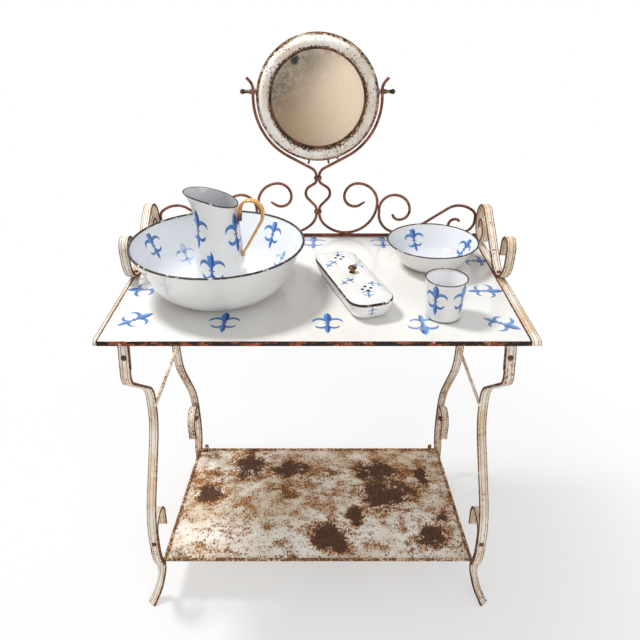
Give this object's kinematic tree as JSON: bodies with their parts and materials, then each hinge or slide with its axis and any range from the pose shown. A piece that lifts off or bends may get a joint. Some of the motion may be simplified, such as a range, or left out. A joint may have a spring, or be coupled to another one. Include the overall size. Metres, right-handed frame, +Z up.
{
  "type": "wash basin stand",
  "caption": "Enamel-topped wash stand on lyre-shaped strap legs with low shelf, scrolled back irons, tilting round mirror and loose basin, jug, bowl, cup and lidded soap dish.",
  "frame": {"origin": "on the floor at the middle of the plan", "axes": "+X to the viewer's right, +Y towards the back irons, +Z up"},
  "size_m": [0.858, 0.52, 1.274],
  "materials": {
    "plate_enamel": "glossy enamel, warm ivory, rusted front lip",
    "cream_strap": "worn cream paint with rusted edges",
    "rusty_iron": "red-brown rust",
    "shelf_paint": "white paint with large rust patches",
    "ring_paint": "worn white paint",
    "mirror": "foxed silvering",
    "backing_board": "plain board",
    "dark_steel": "dull dark steel",
    "brass": "aged brass",
    "white_enamel": "glossy cool white enamel with blue lily ornaments and dark rim",
    "handle_enamel": "ochre enamel"
  },
  "bodies": {
    "frame": {"top_plate": "plate_enamel", "side_bar_left": "cream_strap", "side_bar_right": "cream_strap", "front_cross_bar": "rusty_iron", "rear_cross_bar": "rusty_iron", "back_rail": "rusty_iron", "bracket_front_left": "rusty_iron", "bracket_front_right": "rusty_iron", "bracket_rear_left": "rusty_iron", "bracket_rear_right": "rusty_iron", "leg_front_left": "cream_strap", "leg_front_right": "cream_strap", "leg_rear_left": "cream_strap", "leg_rear_right": "cream_strap", "foot_front_left": "cream_strap", "foot_front_right": "cream_strap", "foot_rear_left": "cream_strap", "foot_rear_right": "cream_strap", "tie_bar_left": "cream_strap", "tie_bar_right": "cream_strap", "shelf": "shelf_paint", "shelf_lugs": "cream_strap", "side_scroll_left": "cream_strap", "side_scroll_right": "cream_strap", "long_rod_left": "rusty_iron", "long_rod_right": "rusty_iron", "middle_scroll_left": "rusty_iron", "middle_scroll_right": "rusty_iron", "outer_scroll_left": "rusty_iron", "outer_scroll_right": "rusty_iron", "upper_collar": "rusty_iron", "lower_collar": "rusty_iron", "leg_bolts": "dark_steel", "foot_bolts": "dark_steel", "scroll_rivets": "dark_steel", "shelf_rivets": "dark_steel"},
    "mirror": {"mirror_ring": "ring_paint", "mirror_glass": "mirror", "mirror_backing": "backing_board", "mirror_pan": "rusty_iron", "mirror_tabs": "rusty_iron", "pivot_pins": "dark_steel"},
    "left_nut": {"thumb_nut_left": "brass"},
    "right_nut": {"thumb_nut_right": "brass"},
    "basin": {"wash_basin": "white_enamel"},
    "jug": {"jug_body": "white_enamel", "jug_handle": "handle_enamel", "jug_rivets": "dark_steel"},
    "soap_dish": {"soap_dish": "white_enamel"},
    "soap_lid": {"soap_lid": "white_enamel", "soap_knob": "brass"},
    "bowl": {"small_bowl": "white_enamel"},
    "cup": {"cup": "white_enamel"}
  },
  "joints": [
    {"name": "mirror_tilt", "type": "hinge", "parent": "frame", "child": "mirror", "pos_m": [0, 0.252, 1.149], "axis": [1, 0, 0], "range_deg": [-60, 60]},
    {"name": "left_nut_turn", "type": "hinge", "parent": "mirror", "child": "left_nut", "pos_m": [0, 0.252, 1.149], "axis": [1, 0, 0], "continuous": true},
    {"name": "right_nut_turn", "type": "hinge", "parent": "mirror", "child": "right_nut", "pos_m": [0, 0.252, 1.149], "axis": [1, 0, 0], "continuous": true},
    {"name": "basin_lift", "type": "slide", "parent": "frame", "child": "basin", "axis": [0, 0, 1], "range_m": [0, 0.3]},
    {"name": "jug_lift", "type": "slide", "parent": "basin", "child": "jug", "axis": [0, 0, 1], "range_m": [0, 0.25]},
    {"name": "soap_dish_lift", "type": "slide", "parent": "frame", "child": "soap_dish", "axis": [0, 0, 1], "range_m": [0, 0.1]},
    {"name": "soap_lid_lift", "type": "slide", "parent": "soap_dish", "child": "soap_lid", "axis": [0, 0, 1], "range_m": [0, 0.1]},
    {"name": "bowl_lift", "type": "slide", "parent": "frame", "child": "bowl", "axis": [0, 0, 1], "range_m": [0, 0.15]},
    {"name": "cup_lift", "type": "slide", "parent": "frame", "child": "cup", "axis": [0, 0, 1], "range_m": [0, 0.15]}
  ]
}
